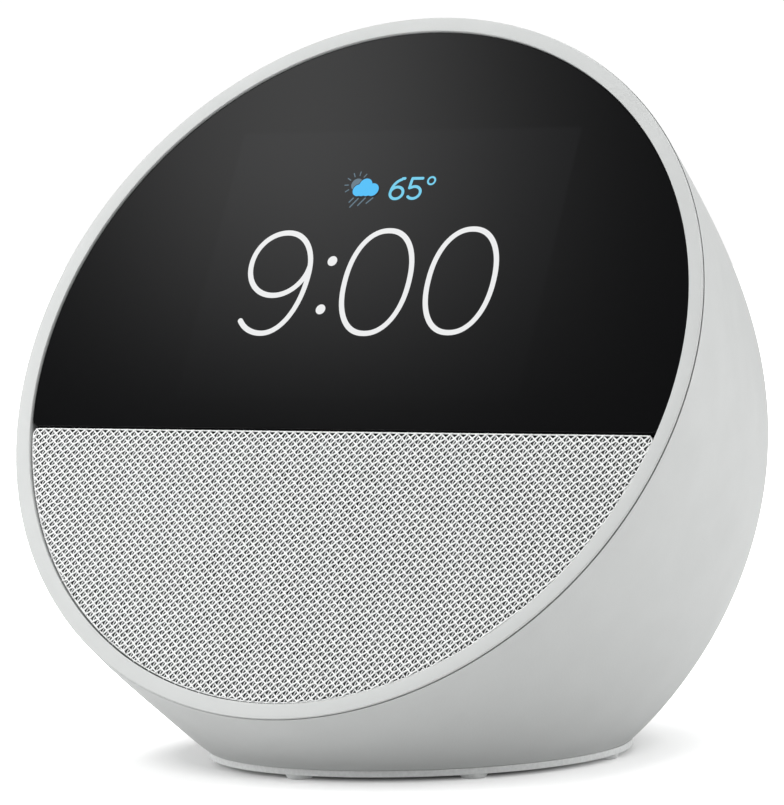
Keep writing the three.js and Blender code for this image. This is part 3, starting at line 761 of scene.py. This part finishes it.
def span_inside(through, way):
    """Where a straight line lies inside the cloth's outline, as two distances along it."""
    trim = 0.05
    b = through @ way
    square = b**2 - through @ through + (CLOTH_EDGE - 0.1) ** 2
    if square <= 0:
        return None
    low, high = -b - math.sqrt(square), -b + math.sqrt(square)
    to_top = (CLOTH_TOP - 0.15 - through[1]) / way[1]
    if way[1] > 0:
        high = min(high, to_top)
    else:
        low = max(low, to_top)
    while high - low > SHORTEST_SPAN and past_corner(*(through + way * low)):
        low += trim
    while high - low > SHORTEST_SPAN and past_corner(*(through + way * high)):
        high -= trim
    return (low, high) if high - low > SHORTEST_SPAN else None


def yarn(at, half, tall):
    """A four-sided tube through points on the face given as (u, v, w), flat across the face."""
    sides = 4
    across = turned_left(unit(np.gradient(at[:, :2], axis=0)))
    half = np.broadcast_to(half, len(at))
    loops = []
    for k in range(sides):
        t = 2 * math.pi * k / sides
        uv = at[:, :2] + across * (half * math.cos(t))[:, None]
        loops.append(np.column_stack([uv, at[:, 2] + tall * math.sin(t)]))
    count = len(at)
    grid = np.stack(loops, 1).reshape(-1, 3)
    i = np.arange(count - 1)[:, None] * sides
    k = np.arange(sides)
    n = (k + 1) % sides
    faces = np.stack([i + k, i + n, i + sides + n, i + sides + k], -1).reshape(-1, 4).tolist()
    faces.append(list(range(sides - 1, -1, -1)))
    faces.append([(count - 1) * sides + j for j in range(sides)])
    return on_face(*grid.T), faces


def strand(index, family):
    """One diagonal yarn of the knit, passing over and under the other family's yarns."""
    pitch_u, pitch_v = CLOTH_PITCH
    step = np.array([pitch_u / 2, family * pitch_v / 2])
    long = np.linalg.norm(step)
    way = step / long
    through = np.array([index * pitch_u, 0.0])
    span = span_inside(through, way)
    if span is None:
        return None
    first, last = math.ceil(span[0] / long * 2), math.floor(span[1] / long * 2)
    halves = np.arange(first, last + 1)
    if len(halves) < 3:
        return None
    along = np.r_[span[0], halves * long / 2, span[1]]
    crossing = np.r_[0, (halves % 2 == 0) * 1.0, 0]
    over = np.where((halves // 2 + (family > 0)) % 2 == 0, 1.0, -1.0)
    over = np.r_[0, over, 0] * crossing
    uv = through + along[:, None] * way
    form = YARNS[family]
    w = cloth_level(*uv.T) + form["lift"] + YARN_OVER * over
    half = form["half"] * (0.9 + 0.35 * crossing)
    return yarn(np.column_stack([uv, w]), half, form["tall"])


def inner_yarns(random):
    """The short yarn that crosses each opening of the knit, from its foot to its head."""
    pitch_u, pitch_v = CLOTH_PITCH
    i, j = np.meshgrid(np.arange(-KNIT_REACH, KNIT_REACH + 1), np.arange(-100, -10))
    openings = (i + j) % 2 == 1
    u, v = i[openings] * pitch_u / 2, j[openings] * pitch_v / 2
    inside = (np.hypot(u, v) < CLOTH_EDGE - 0.15) & (v < CLOTH_TOP - 0.5)
    slant = np.array(INNER_YARN["slant"])
    made = []
    for place in np.stack([u[inside], v[inside]], -1):
        place = place + random.normal(0, 0.02, 2)
        lean = slant * random.uniform(0.95, 1.1) + random.normal(0, 0.015, 2)
        uv = np.stack([place - lean, place, place + lean])
        w = cloth_level(*uv.T) - INNER_YARN["sunk"]
        made.append(yarn(np.column_stack([uv, w]), INNER_YARN["half"], INNER_YARN["tall"]))
    return made


def cloth_hem():
    """The turned edge that runs round the cloth."""
    outline = segment_outline(CLOTH_EDGE - 0.02, CLOTH_TOP - 0.04, -1, CLOTH_CORNER)
    profile = arc((HEM_RADIUS, CLOTH_LEVEL - 0.16), (HEM_RADIUS, 0.12), 0, 360, 6)[:-1]
    return ring(inset_loops(outline, profile))


def make_cloth():
    random = np.random.default_rng(7)
    reach = range(-KNIT_REACH, KNIT_REACH + 1)
    made = [strand(index, family) for family in YARNS for index in reach]
    made = [m for m in made if m] + inner_yarns(random) + [cloth_hem()]
    piece = mesh("speaker_cloth", together(made), 180)
    finish_piece(piece, "housing", "cloth", LOOKS["cloth"], "grille_fabric")


# ---------------------------------------------------------------- housing
ABOVE_SKIN = 90.0  # a height over any spot that is outside the housing


class Spot:
    """A place with its own axes: x to the right, and z out of the housing or up."""

    def __init__(self, origin, axis):
        self.origin = np.asarray(origin, float)
        self.z = unit(np.asarray(axis, float))
        self.x = SIDEWAYS
        self.y = np.cross(self.z, self.x)

    def at(self, x, y, z):
        x, y, z = np.broadcast_arrays(x, y, z)
        return self.origin + x[..., None] * self.x + y[..., None] * self.y + z[..., None] * self.z

    def skin_height(self, x, y):
        """Height of the housing's outer skin over points of this spot's plane."""
        x, y = np.broadcast_arrays(x, y)
        heights = []
        for start in self.at(x.ravel(), y.ravel(), ABOVE_SKIN):
            hit = SKIN_TREE.ray_cast(Vector(start), Vector(-self.z))
            heights.append(ABOVE_SKIN - hit[3])
        return np.array(heights).reshape(x.shape)

    def circle(self, x, y, radius, lift, from_skin, count=72):
        """A loop round (x, y), at a height above the plane or above the skin."""
        a = directions(count)
        px, py = x + radius * np.cos(a), y + radius * np.sin(a)
        level = self.skin_height(px, py) if from_skin else 0.0
        return self.at(px, py, level + lift)


def skin_loops(inset, depth, height, along, count):
    """Loops of the housing's skin, from a depth behind the face to a height over the table."""
    a = directions(count)
    start = place_where(a, inset, depth_behind_face, depth)
    end = place_where(a, inset, lambda p: -p[..., 2], -height)
    return [skin(a, start + (end - start) * s, inset) for s in np.linspace(0, 1, along + 1)]


def skin_tree():
    """The housing's outer skin, for finding heights on it."""
    loops = skin_loops(0, 0.2, HOUSING_BOTTOM, 90, 240)
    points, faces = plug(loops)
    return BVHTree.FromPolygons([tuple(p) for p in points], faces[:-2])


def bore(spot, x, y, radius, floor, rim, count=72):
    """A round cutter from a floor out through the skin, flared so that the rim is rounded."""
    loops = [spot.circle(x, y, radius, floor, False, count)]
    flare = [*arc((radius + rim, -rim), rim, 180, 105, 5), (radius + rim, 3.0)]
    loops += [spot.circle(x, y, r, z, True, count) for r, z in flare]
    return plug(loops)


def make_housing():
    a = directions(AROUND)
    top = SEAM_DEPTH + SEAM_GAP * seam_share(a)
    outer = skin_loops(0, top, HOUSING_BOTTOM, 100, AROUND)
    inner = skin_loops(WALL, LAP_DEPTH + CLEAR, HOUSING_BOTTOM, 40, AROUND)[::-1]
    step, floor = 0.08, top + 0.5
    lip = [
        skin_at_depth(a, inset, depth)
        for inset, depth in ((LIP, LAP_DEPTH + CLEAR), (LIP, floor), (step, floor), (step, top))
    ]
    seam = fillet(lip[-1], outer[0], outer[1], SEAM_EDGE, 3)
    foot = fillet(outer[-2], outer[-1], inner[0], 0.15, 4)
    piece = mesh("rear_housing_fine", ring([*seam, *outer[1:-1], *foot, *inner, *lip]), 35)
    collar = [
        JACK.circle(0, 0, JACK_COLLAR, JACK_FLOOR - 1.5, False),
        JACK.circle(0, 0, JACK_COLLAR, -1.0, True),
    ]
    combine(piece, mesh("collar", plug(collar)), "UNION")
    cutters = [bore(BUTTONS, x, 0, BUTTON_HOLE, BORE_FLOOR, 0.3) for x in (-BUTTON_STEP, 0, BUTTON_STEP)]
    cutters += [bore(BUTTONS, x, y, MIC_HOLE, BORE_FLOOR, 0.15, 24) for x, y in MIC_PLACES]
    cutters.append(bore(JACK, 0, 0, JACK_RADIUS, JACK_FLOOR, 0.5))
    combine(piece, mesh("cutters", together(cutters)), "DIFFERENCE")
    nose = [JACK.circle(0, 0, JACK_NOSE + 0.3, z, False, 48) for z in (JACK_FLOOR - 4, JACK_FLOOR + 2)]
    combine(piece, mesh("nose_hole", plug(nose)), "DIFFERENCE")
    smooth(piece, 35)
    finish_piece(piece, "housing", "shell", LOOKS["shell"], "rear_housing")


def button_marks(name, x):
    """Engraving tools for a button's mark: a bar, a cross of two bars, or a ring."""
    bars = {"volume_down": [0], "volume_up": [0, 90]}.get(name)
    low, high = BUTTON_PROUD - BUTTON_DISH - 0.2, BUTTON_PROUD + 1.5
    if bars is None:
        sides = ((1.05, low), (1.05, high), (1.5, high), (1.5, low))
        return [ring([BUTTONS.circle(x, 0, r, z, True, 48) for r, z in sides])]
    half_long, half_wide = 1.35, 0.23
    bar = np.concatenate([
        arc((half_long, 0), half_wide, -90, 90, 8),
        arc((-half_long, 0), half_wide, 90, 270, 8),
    ])
    made = []
    for turn in bars:
        t = math.radians(turn)
        u, v = (bar @ [[math.cos(t), math.sin(t)], [-math.sin(t), math.cos(t)]]).T
        level = BUTTONS.skin_height(x + u, v)
        made.append(plug([BUTTONS.at(x + u, v, level + z) for z in (low, high)]))
    return made


def make_button(name, x):
    """A cap that follows the housing's skin, proud of it, with a rounded rim and a skirt."""
    edge, dish_radius, centre = 0.5, 3.4, 0.2
    under, top = -(WALL + 2.6), -(WALL + 1.0)
    profile = [
        (centre, under), (BUTTON_SKIRT - 0.2, under), (BUTTON_SKIRT, under + 0.2),
        (BUTTON_SKIRT, top), (BUTTON_RADIUS, top),
        *arc((BUTTON_RADIUS - edge, BUTTON_PROUD - edge), edge, 0, 90, 6),
    ]
    for r in (3.2, 2.4, 1.6, 0.8, centre):
        profile.append((r, BUTTON_PROUD - BUTTON_DISH * (1 - (r / dish_radius) ** 2)))
    piece = mesh(f"{name}_button_fine", plug([BUTTONS.circle(x, 0, r, z, True) for r, z in profile]), 30)
    for tool in button_marks(name, x):
        combine(piece, mesh("mark", tool), "DIFFERENCE")
    smooth(piece, 30)
    finish_piece(piece, name, "shell", LOOKS["shell"], f"{name}_button")


# ---------------------------------------------------------------- turned pieces
def turned(spot, profile, count=72):
    """A closed profile of (radius, height) turned about a spot's z; radius 0 closes it."""
    loops = [spot.circle(0, 0, max(r, 0.02), z, False, count) for r, z in profile]
    return plug(loops) if profile[0][0] == 0 else ring(loops)


def make_jack():
    """The inlet's barrel and the pin in its middle."""
    behind = JACK_FLOOR - 1.8
    body = [
        (2.9, behind - 8), (2.9, JACK_FLOOR - 0.2), (3.1, JACK_FLOOR), (JACK_NOSE - 0.2, JACK_FLOOR),
        (JACK_NOSE, JACK_FLOOR - 0.2), (JACK_NOSE, behind), (4.45, behind - 0.2), (4.45, behind - 8),
    ]
    case = mesh("dc_jack_barrel", turned(JACK, body))
    finish_piece(case, "housing", "dark_plastic", LOOKS["dark_plastic"])
    tip = JACK_FLOOR - 0.7
    pin = [(0, behind - 8.5), (1.0, behind - 8.5), (1.0, tip - 0.6), (0.92, tip - 0.25), (0.6, tip), (0, tip)]
    piece = mesh("dc_jack_pin_fine", turned(JACK, pin, 40))
    finish_piece(piece, "housing", "steel", LOOKS["steel"], "dc_jack_pin")


def make_foot():
    """The ring and its pads, as one piece of rubber."""
    under, top, outer, inner = FOOT["under"], FOOT["top"], FOOT["outer"], FOOT["inner"]
    crown, edge = FOOT["crown"], FOOT["edge"]
    upward = (0, 0, 1)
    profile = [
        (inner, under), (inner, top),
        *arc((outer - crown, top - crown), crown, 90, 0, 4),
        *arc((outer - edge, under + edge), edge, 0, -90, 4),
    ]
    parts = [turned(Spot((0, BASE_Y, 0), upward), profile, 240)]
    for a in directions(PADS["count"]) + math.radians(PADS["first"]):
        spot = Spot((PADS["circle"] * math.sin(a), BASE_Y - PADS["circle"] * math.cos(a), 0), upward)
        parts.append(turned(spot, PAD_PROFILE, 36))
    piece = mesh("foot_ring_fine", together(parts), 35)
    finish_piece(piece, "housing", "foot_rubber", LOOKS["foot_rubber"], "foot_ring")


# ---------------------------------------------------------------- carried-over CAD nodes
# The first slot with a word that is in a node's name is that node's slot.
NODE_SLOTS = {
    "shell": ["base_plate"],
    "glass": ["lcd_panel"],
    "screen": ["lcd_backlight"],
    "dark_plastic": [
        "speaker_grille", "display_chassis", "speaker_basket", "speaker_box", "dc_jack", "plunger",
    ],
    "black_rubber": ["glass_gasket", "speaker_surround", "dust_cap", "_lead"],
    "paper_cone": ["speaker_cone"],
    "steel": ["screw", "magnet_top_plate", "magnet_yoke", "_switch", "ballast_plate"],
    "ferrite": ["speaker_magnet"],
    "copper": ["voice_coil"],
    "alloy": ["shield_can", "heat_spreader", "microphone"],
    "circuit_board": ["_board"],
    "flex_film": ["wifi_antenna", "lcd_flex", "speaker_spider"],
}


def slot_of(node):
    for slot, words in NODE_SLOTS.items():
        if any(word in node for word in words):
            return slot
    return "shell"


def dress_cad_nodes():
    """Gives every CAD node its slot's look; the panel behind the glass looks like a screen."""
    for name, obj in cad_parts.items():
        slot = slot_of(name)
        obj.data.materials.clear()
        obj.data.materials.append(LOOKS["screen"] if slot == "glass" else LOOKS[slot])


# ---------------------------------------------------------------- camera, floor and light
VIEW_AZIMUTH = math.radians(30.824)
VIEW_ELEVATION = math.radians(3.784)
VIEW_ROLL = math.radians(-1.740)
VIEW_DISTANCE = 805.15
VIEW_TARGET = np.array([1.354, -14.453, 52.883])
VIEW_LENS = 245.35
# The direction from the object to the camera.
VIEW_BACK = np.array([
    math.sin(VIEW_AZIMUTH) * math.cos(VIEW_ELEVATION),
    -math.cos(VIEW_AZIMUTH) * math.cos(VIEW_ELEVATION),
    math.sin(VIEW_ELEVATION),
])

# The floor's tones, and how its glow grows with distance from the shadow's middle.
PAPER_TONES = ((0.95, 0.95, 0.95), (0.96, 0.96, 0.96))
# Painted shade: the white paper's colour under the foot, where no light would reach.
PAINTED_SHADE_UNDER_FOOT = (0.12, 0.12, 0.12)
FLOOR_BOUNCE = (0.6, 0.6, 0.6)
BOUNCE_GLOW = 0.16
BOUNCE_DROP = 2
FLOOR_GLOW = 0.32
FLOOR_DARK, FLOOR_NEAR, FLOOR_FAR = 32.3, 40.2, 108
SHADOW_CENTRE = (-6.8, -1.8, 0)  # back and to the left of the base's middle
BASE_MIDDLE = (0, BASE_Y, 0)


def make_camera():
    right = np.array([math.cos(VIEW_AZIMUTH), math.sin(VIEW_AZIMUTH), 0])
    up = np.cross(VIEW_BACK, right)
    turned_right = right * math.cos(VIEW_ROLL) + up * math.sin(VIEW_ROLL)
    turned_up = up * math.cos(VIEW_ROLL) - right * math.sin(VIEW_ROLL)
    data = bpy.data.cameras.new("camera")
    data.sensor_width = 36
    data.lens = VIEW_LENS
    data.clip_start, data.clip_end = 0.01, 50
    camera = in_scene("camera", data)
    place = Matrix(np.column_stack([turned_right, turned_up, VIEW_BACK]).tolist()).to_4x4()
    place.translation = Vector((VIEW_TARGET + VIEW_BACK * VIEW_DISTANCE) * MM)
    camera.matrix_world = place
    bpy.context.scene.camera = camera


def area_light(name, origin, target, size, watts):
    """A soft square light; origin, target and size are in metres."""
    data = bpy.data.lights.new(name, "AREA")
    data.shape = "SQUARE"
    data.size = size
    data.energy = watts
    light = in_scene(name, data)
    light.location = origin
    light.rotation_euler = (Vector(target) - Vector(origin)).to_track_quat("-Z", "Y").to_euler()
    return light


def stage_piece(name, points, faces, look):
    """A piece of the stage, from points in mm."""
    data = mesh_data(name, points, faces)
    data.materials.append(look.material)
    piece = in_scene(name, data)
    return piece


def level_sheet(name, reach, height, look):
    """A square sheet that reaches out to a distance on each side of the object."""
    sides = ((-1, -1), (1, -1), (1, 1), (-1, 1))
    return stage_piece(name, [(x * reach, y * reach, height) for x, y in sides], [(0, 1, 2, 3)], look)


def only_camera_sees(piece):
    piece.visible_diffuse = False
    piece.visible_glossy = False
    piece.visible_transmission = False
    piece.visible_shadow = False


def distance_from(look, place):
    """How far a spot of the floor is from a place, given in mm."""
    away = look.node("ShaderNodeVectorMath", Vector=look.place)
    away.operation = "DISTANCE"
    away.inputs[1].default_value = [c * MM for c in place]
    return away.outputs["Value"]


def make_floor():
    """White paper to look at, and greyer paper just under it that throws light up at the object.

    The white paper has painted shade under the foot, where it is dark. It glows more with
    distance, as painted light, so that it is evenly white away from the shadow.
    """
    look = Look("floor_paper", Roughness=0.9, Specular_IOR_Level=0.1, Emission_Color=WHITE)
    paper = look.mix(look.noise(400, 1), *PAPER_TONES)
    edge = FOOT["outer"]
    beside = distance_from(look, BASE_MIDDLE)
    # Painted shade: the paper's colour turns dark grey under the foot.
    beyond_painted_shade = look.ramp(beside, 0, 1, (edge - 6) * MM, (edge - 1) * MM)
    look.set("Base Color", look.mix(beyond_painted_shade, PAINTED_SHADE_UNDER_FOOT, paper))
    # Painted light: the paper glows more with distance from the shadow's middle, which lightens the cast
    # shadow.
    distance = distance_from(look, SHADOW_CENTRE)
    near = look.ramp(distance, 0, FLOOR_GLOW, FLOOR_DARK * MM, FLOOR_NEAR * MM)
    far = look.ramp(distance, 0, 1 - FLOOR_GLOW, FLOOR_NEAR * MM, FLOOR_FAR * MM)
    clear = look.ramp(beside, 0, 1, (edge - 4) * MM, edge * MM)
    look.set("Emission Strength", look.math("MULTIPLY", look.math("ADD", near, far), clear))
    only_camera_sees(level_sheet("floor", 1500, 0, look))
    under = Look("bounce_paper", Roughness=0.9, Specular_IOR_Level=0.1, Emission_Color=WHITE)
    under.set("Base Color", under.mix(under.noise(400, 1), FLOOR_BOUNCE, FLOOR_BOUNCE))
    beside = distance_from(under, BASE_MIDDLE)
    under.set("Emission Strength", under.ramp(beside, 0, BOUNCE_GLOW, FLOOR_DARK * MM, FLOOR_NEAR * MM))
    bounce = level_sheet("floor_bounce", 6000, -BOUNCE_DROP, under)
    bounce.visible_camera = False


def make_backdrop():
    """A white shell round the whole stage that only the camera sees."""
    shell = [(500, 6000), (5000, 4000), (6500, 0), (5000, -4000), (500, -6000)]
    points, faces = turned(Spot((0, 0, 0), (0, 0, 1)), [(0, 6000), *shell, (0, -6000)], 32)
    look = Look("backdrop_white", Base_Color=BLACK, Roughness=1.0, Specular_IOR_Level=0.0)
    look.set("Emission Color", look.mix(look.noise(4000, 1), (1, 1, 1), (1, 1, 1)))
    look.set("Emission Strength", 1.02)
    only_camera_sees(stage_piece("backdrop", points, faces, look))


# The card that the glass mirrors, and its glow as it shows on the face: a soft band that
# leans to the left as it rises, strongest at the top and gone below the face's middle.
CARD_DISTANCE = 600
CARD_REACH = 450
CARD_CELLS = 24
GLOW = {"low": 0.05, "high": 1.08, "middle": -6.6, "lean": -0.308, "left": 26.9, "right": 25.1}
GLOW_RISE = (-21.7, 40.1)


def make_card():
    """A glowing card where the glass mirrors the camera's view, seen by reflections only."""
    view = VIEW_TARGET + VIEW_BACK * VIEW_DISTANCE
    ray = unit(FACE_CENTRE - view)
    mirror = ray - 2 * (ray @ FACE_NORMAL) * FACE_NORMAL
    behind = view - 2 * ((view - FACE_CENTRE) @ FACE_NORMAL) * FACE_NORMAL
    right = unit(SIDEWAYS - (SIDEWAYS @ mirror) * mirror)
    up = np.cross(right, mirror)
    steps = np.linspace(-CARD_REACH, CARD_REACH, CARD_CELLS + 1)
    x, y = np.meshgrid(steps, steps)
    points = FACE_CENTRE + mirror * CARD_DISTANCE + x.ravel()[:, None] * right + y.ravel()[:, None] * up
    # Where the line from the mirrored viewpoint to each point of the card crosses the face.
    way = points - behind
    share = ((FACE_CENTRE - behind) @ FACE_NORMAL) / (way @ FACE_NORMAL)
    crossing = behind + share[:, None] * way - FACE_CENTRE
    places = np.stack([crossing @ SIDEWAYS, crossing @ FACE_UP, 0 * share], -1)

    count = CARD_CELLS + 1
    corner = (np.arange(CARD_CELLS)[:, None] * count + np.arange(CARD_CELLS)).ravel()
    faces = np.stack([corner, corner + 1, corner + count + 1, corner + count], -1)
    card = stage_piece("reflector_card", points, faces.tolist(), card_glow())
    store_places(card.data, places)
    card.visible_camera = False
    card.visible_diffuse = False
    card.visible_shadow = False
    card.visible_transmission = False


def card_glow():
    """A glow that fades away to both sides of its middle and down the face."""
    look = Look("card_glow", Base_Color=BLACK, Roughness=1.0, Specular_IOR_Level=0.0, Emission_Color=WHITE)
    u, v = look.face_place()
    middle = look.math("ADD", look.math("MULTIPLY", v, GLOW["lean"]), GLOW["middle"])
    aside = look.math("SUBTRACT", u, middle)
    spread = look.ramp(look.math("GREATER_THAN", aside, 0), GLOW["left"], GLOW["right"])
    square = look.math("POWER", look.math("DIVIDE", look.math("ABSOLUTE", aside), spread), 2.0)
    band = look.math("EXPONENT", look.math("MULTIPLY", square, -0.5))
    rise = look.node("ShaderNodeMapRange", Value=v)
    rise.interpolation_type = "SMOOTHSTEP"
    rise.inputs["From Min"].default_value, rise.inputs["From Max"].default_value = GLOW_RISE
    glow = look.math("MULTIPLY", band, rise.outputs[0])
    look.set("Emission Strength", look.ramp(glow, GLOW["low"], GLOW["low"] + GLOW["high"]))
    return look


# Soft lights as (place, size, watts); places and sizes are in metres.
SKY = 0.39
LIGHTS = {
    "near_left": ((-0.30, -0.25, 0.20), 0.3, 1.06),
    "overhead": ((0, 0, 1.2), 1.0, 11.8),
    "right_back": ((0.7, 0.7, 0.4), 0.8, 3.5),
    "right_low": ((0.6, 0.1, 0.05), 0.4, 1.3),
}
LIGHT_TARGET = (0, -0.02, 0.06)


def make_light():
    world = bpy.data.worlds.new("studio")
    bpy.context.scene.world = world
    world.use_nodes = True
    background = world.node_tree.nodes["Background"]
    background.inputs["Color"].default_value = WHITE
    background.inputs["Strength"].default_value = SKY
    for name, (place, size, watts) in LIGHTS.items():
        light = area_light(name, place, LIGHT_TARGET, size, watts)
        light.visible_camera = False
        light.visible_glossy = name != "near_left"  # it would show in the glass
    settings = bpy.context.scene.view_settings
    settings.view_transform = "Standard"
    settings.look = "None"


# ---------------------------------------------------------------- the whole
SKIN_TREE = skin_tree()
BUTTON_DIRECTION = np.array(math.pi / 2)
BUTTONS = Spot(skin(BUTTON_DIRECTION, BUTTON_ALONG), outward(BUTTON_DIRECTION, BUTTON_ALONG))
JACK = Spot((0, 0, JACK_Z), (0, 1, 0))

dress_cad_nodes()
make_bezel()
make_glass()
make_screen_marks()
make_cloth()
make_housing()
for index, button in enumerate(("volume_down", "mute", "volume_up")):
    make_button(button, (index - 1) * BUTTON_STEP)
make_jack()
make_foot()

make_camera()
make_floor()
make_backdrop()
make_card()
make_light()
